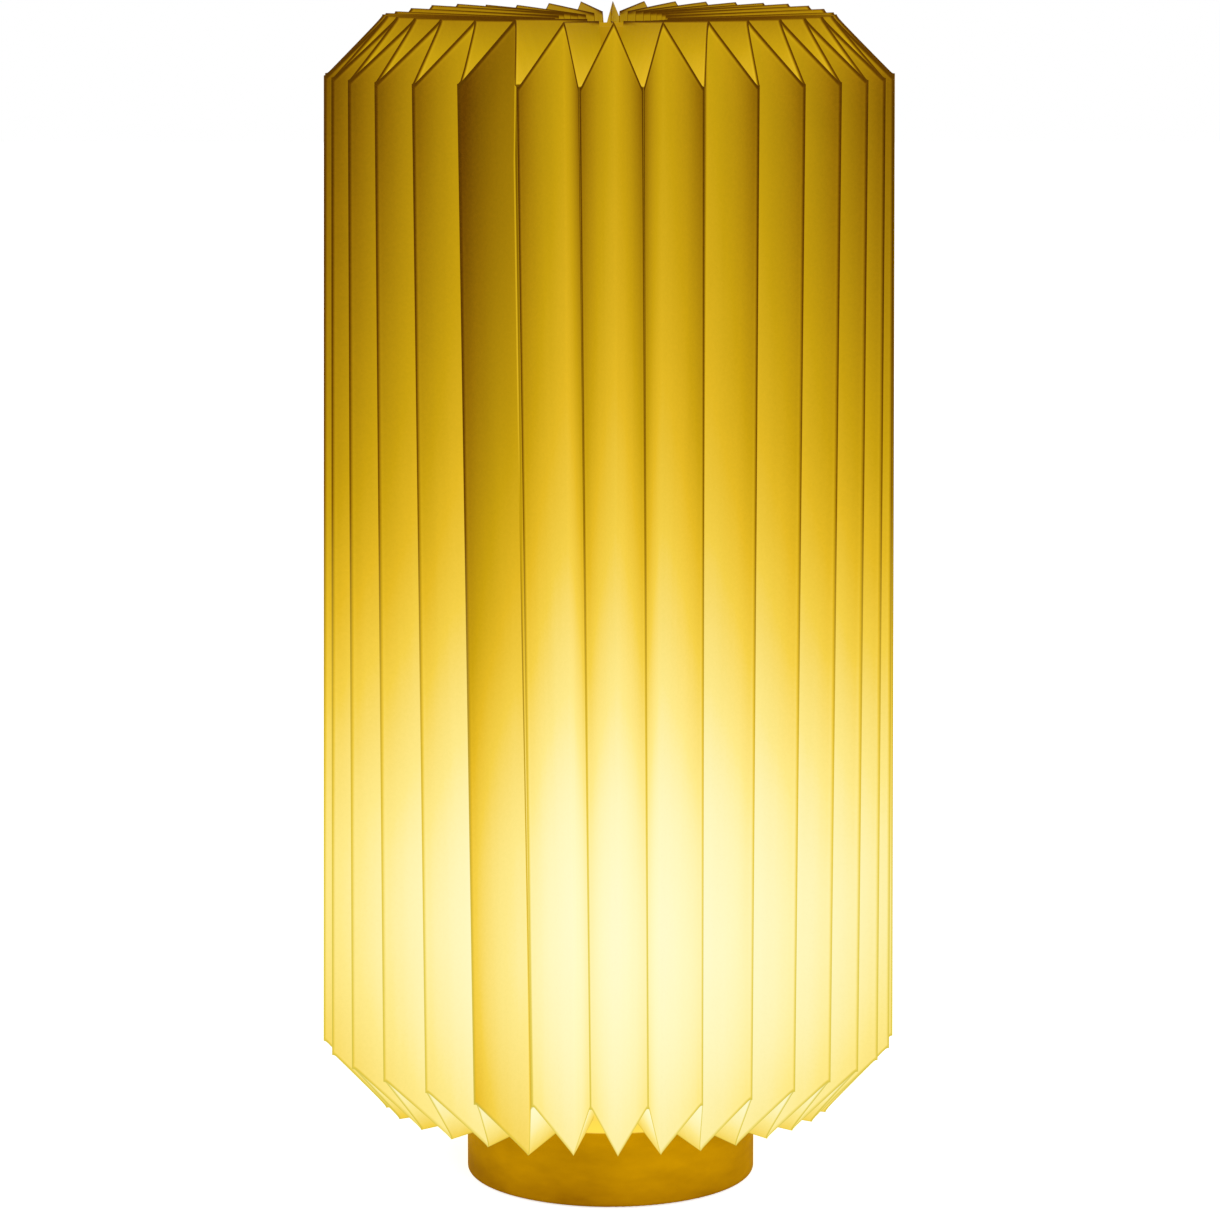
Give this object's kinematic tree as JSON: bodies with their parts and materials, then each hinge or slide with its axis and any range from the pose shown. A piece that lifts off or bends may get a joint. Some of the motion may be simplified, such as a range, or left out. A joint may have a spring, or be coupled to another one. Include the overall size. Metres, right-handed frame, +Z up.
{
  "type": "pleated paper table lamp",
  "caption": "Table lamp whose tall folded paper shade stands on a round wooden base and lifts straight off over a small screw-in bulb in its lampholder.",
  "frame": {"origin": "on the table under the middle of the round base", "axes": "+Z up along the lamp's axis, front towards -Y, cord inlet towards +Y"},
  "size_m": [0.2027, 0.2027, 0.4134],
  "materials": {
    "shade_paper": "uncoated, translucent, folded",
    "ring_plastic": "satin white, translucent",
    "turned_wood": "turned, satin lacquer",
    "zinc_steel": "zinc plated",
    "felt": "pressed wool felt",
    "weight_iron": "raw casting",
    "bush_plastic": "moulded",
    "gallery_paint": "white powder coat",
    "holder_plastic": "moulded, satin white",
    "holder_ceramic": "fired, unglazed",
    "contact_brass": "bright",
    "opal_diffuser": "frosted, lit",
    "bulb_plastic": "moulded, satin white",
    "led_board": "white-faced board",
    "led_phosphor": "lit phosphor",
    "cap_metal": "rolled, bright",
    "cap_glass": "black, fused"
  },
  "bodies": {
    "base": {"wooden_base": "turned_wood", "base_cover": "zinc_steel", "cover_screws": "zinc_steel", "felt_pad": "felt", "base_weight": "weight_iron", "cord_bush": "bush_plastic", "threaded_tube": "zinc_steel", "tube_washer": "zinc_steel", "tube_nut": "zinc_steel", "shade_gallery": "gallery_paint", "holder_cap": "holder_plastic", "holder_skirt": "holder_plastic", "holder_insert": "holder_ceramic", "socket_sleeve": "contact_brass", "centre_contact": "contact_brass", "terminal_screws": "zinc_steel"},
    "bulb": {"bulb_globe": "opal_diffuser", "bulb_housing": "bulb_plastic", "led_plate": "led_board", "led_chips": "led_phosphor", "bulb_cap": "cap_metal", "bulb_insulator": "cap_glass", "bulb_tip": "contact_brass"},
    "shade": {"pleated_shade": "shade_paper", "lower_shade_ring": "ring_plastic", "upper_shade_ring": "ring_plastic"}
  },
  "joints": [
    {"name": "shade_lift", "type": "slide", "parent": "base", "child": "shade", "axis": [0, 0, 1], "range_m": [0, 0.103]},
    {"name": "bulb_unscrew", "type": "hinge", "parent": "base", "child": "bulb", "pos_m": [0, 0, 0.0598], "axis": [0, 0, 1], "range_deg": [0, 1080]}
  ]
}
